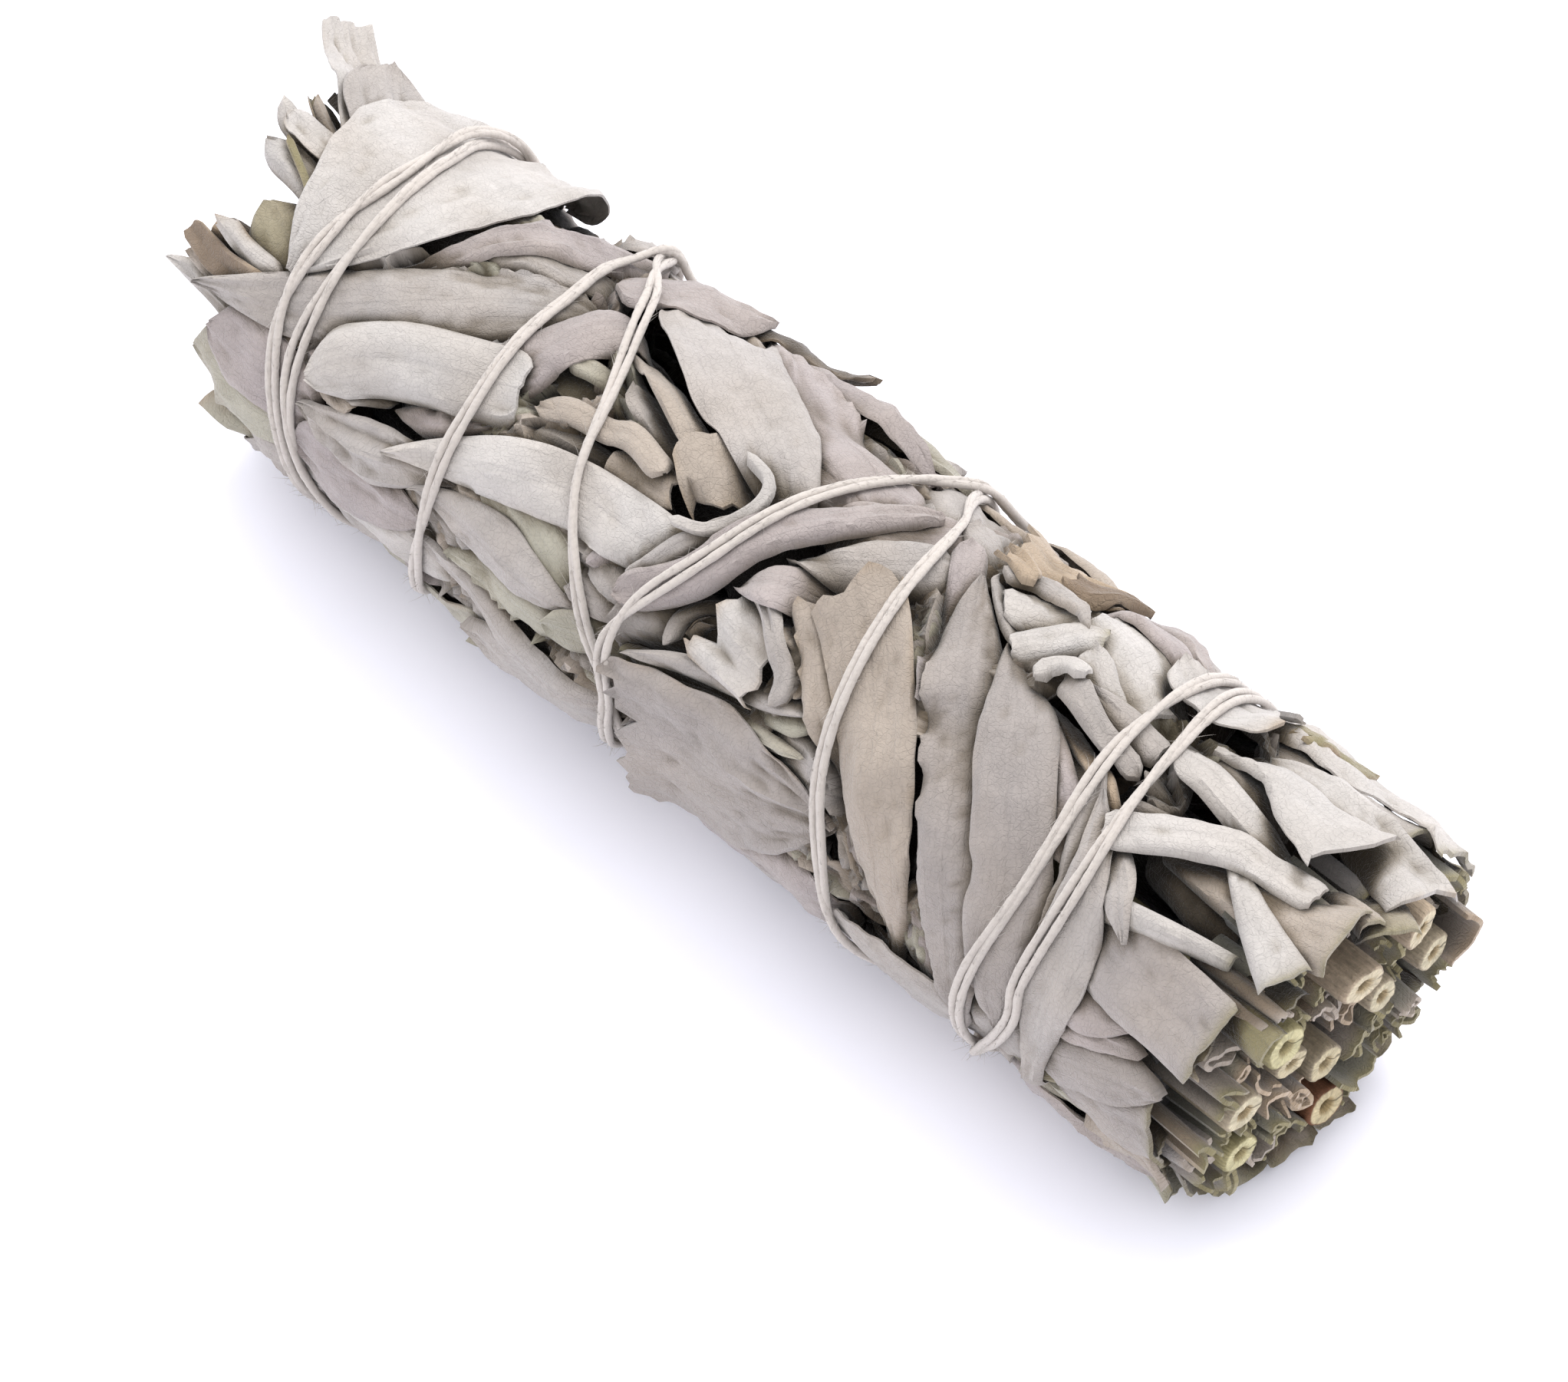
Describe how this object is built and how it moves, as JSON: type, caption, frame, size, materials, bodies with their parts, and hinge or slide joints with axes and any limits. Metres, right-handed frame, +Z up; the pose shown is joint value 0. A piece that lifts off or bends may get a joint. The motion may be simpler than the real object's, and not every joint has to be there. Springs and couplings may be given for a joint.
{
  "type": "dried white sage bunch",
  "caption": "Tied bunch of dried white sage leaves and stems, a short round stick lying on its side, bound with cotton string.",
  "frame": {"origin": "middle of the bounding box, on the surface that the bunch lies on", "axes": "+X along the bunch towards its cut end, +Z up"},
  "size_m": [0.155, 0.0429, 0.042],
  "materials": {
    "sage_leaf": "dry, felted, matt leaf, pale grey with a trace of green and tan",
    "cotton_string": "matt undyed twisted cotton",
    "stem": "dry stalk with pale pith at the cut"
  },
  "bodies": {
    "root": {"leaves": "sage_leaf", "string": "cotton_string", "stem_01": "stem", "stem_02": "stem", "stem_03": "stem", "stem_04": "stem", "stem_05": "stem", "stem_06": "stem", "stem_07": "stem", "stem_08": "stem", "stem_09": "stem", "stem_10": "stem"}
  },
  "joints": []
}
